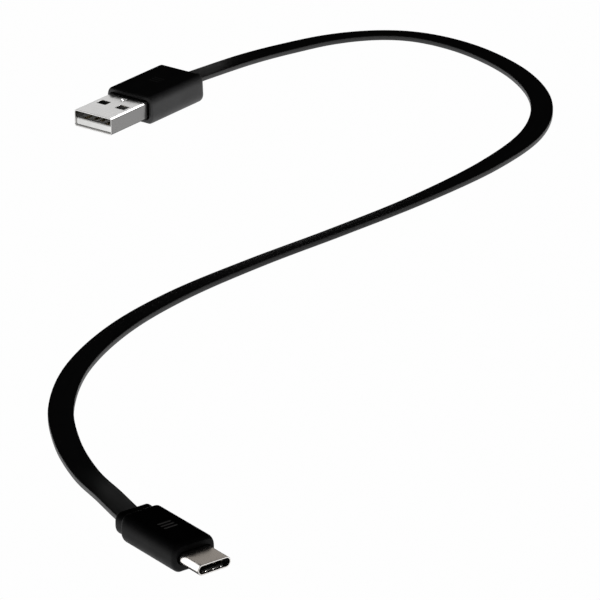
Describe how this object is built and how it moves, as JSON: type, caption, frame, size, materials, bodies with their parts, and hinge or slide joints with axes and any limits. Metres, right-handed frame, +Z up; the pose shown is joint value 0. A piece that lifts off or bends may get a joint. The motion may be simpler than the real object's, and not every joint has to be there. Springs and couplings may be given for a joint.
{
  "type": "charging cable",
  "caption": "Flat black charging cable with a rectangular plug at one end and a small reversible plug at the other, lying in an S.",
  "frame": {"origin": "on the table, under the middle of the box that holds the two plugs", "axes": "+Z up from the table, +Y along the cable's long way from the small plug towards the rectangular plug, +X to the right of that"},
  "size_m": [0.1219, 0.3294, 0.0074],
  "materials": {
    "nickel_plated_steel": "bright nickel plate over drawn steel sheet",
    "stainless_steel": "drawn stainless steel",
    "gold_plated_contact": "gold flash over copper alloy",
    "black_tpe_overmould": "smooth satin black moulding",
    "black_pvc_jacket": "smooth satin black extruded jacket",
    "black_lcp_insulator": "black moulded insulator",
    "pale_plastic_tongue": "pale moulded insulator",
    "milky_polyethylene": "milky inner mould",
    "green_circuit_board": "solder-masked circuit board",
    "ceramic_resistor": "ceramic chip",
    "red_wire_insulation": "red insulation",
    "white_wire_insulation": "white insulation",
    "green_wire_insulation": "green insulation",
    "black_wire_insulation": "black insulation"
  },
  "bodies": {
    "cable": {"cable_jacket": "black_pvc_jacket", "usb_a_contact_data_minus": "gold_plated_contact", "usb_a_contact_data_plus": "gold_plated_contact", "usb_a_contact_ground": "gold_plated_contact", "usb_a_contact_vbus": "gold_plated_contact", "usb_a_inner_mould": "milky_polyethylene", "usb_a_insulator": "pale_plastic_tongue", "usb_a_overmould": "black_tpe_overmould", "usb_a_shell": "nickel_plated_steel", "usb_a_wire_black": "black_wire_insulation", "usb_a_wire_green": "green_wire_insulation", "usb_a_wire_red": "red_wire_insulation", "usb_a_wire_white": "white_wire_insulation", "usb_c_inner_mould": "milky_polyethylene", "usb_c_insulator": "black_lcp_insulator", "usb_c_overmould": "black_tpe_overmould", "usb_c_paddle_card": "green_circuit_board", "usb_c_resistor": "ceramic_resistor", "usb_c_shell": "stainless_steel", "usb_c_shield_spring_lower": "stainless_steel", "usb_c_shield_spring_upper": "stainless_steel", "usb_c_wire_black": "black_wire_insulation", "usb_c_wire_green": "green_wire_insulation", "usb_c_wire_red": "red_wire_insulation", "usb_c_wire_white": "white_wire_insulation"},
    "upper_contacts": {"usb_c_contact_a1": "gold_plated_contact", "usb_c_contact_a12": "gold_plated_contact", "usb_c_contact_a4": "gold_plated_contact", "usb_c_contact_a5": "gold_plated_contact", "usb_c_contact_a6": "gold_plated_contact", "usb_c_contact_a7": "gold_plated_contact", "usb_c_contact_a9": "gold_plated_contact"},
    "lower_contacts": {"usb_c_contact_b1": "gold_plated_contact", "usb_c_contact_b12": "gold_plated_contact", "usb_c_contact_b4": "gold_plated_contact", "usb_c_contact_b9": "gold_plated_contact"},
    "latch_left": {"usb_c_latch_left": "stainless_steel"},
    "latch_right": {"usb_c_latch_right": "stainless_steel"}
  },
  "joints": [
    {"name": "upper_contacts_flex", "type": "hinge", "parent": "cable", "child": "upper_contacts", "pos_m": [0.01188, -0.13254, 0.0036], "axis": [-0.7934, -0.6088, 0], "range_deg": [0, 1.5], "stiffness_Nm_per_rad": 0.02},
    {"name": "lower_contacts_flex", "type": "hinge", "parent": "cable", "child": "lower_contacts", "pos_m": [0.01188, -0.13254, 0.0028], "axis": [0.7934, 0.6088, 0], "range_deg": [0, 1.5], "stiffness_Nm_per_rad": 0.02},
    {"name": "latch_left_flex", "type": "hinge", "parent": "cable", "child": "latch_left", "pos_m": [0.01038, -0.13621, 0.0032], "axis": [0, 0, -1], "range_deg": [0, 1.6], "stiffness_Nm_per_rad": 0.02},
    {"name": "latch_right_flex", "type": "hinge", "parent": "cable", "child": "latch_right", "pos_m": [0.01581, -0.13204, 0.0032], "axis": [0, 0, 1], "range_deg": [0, 1.6], "stiffness_Nm_per_rad": 0.02}
  ]
}
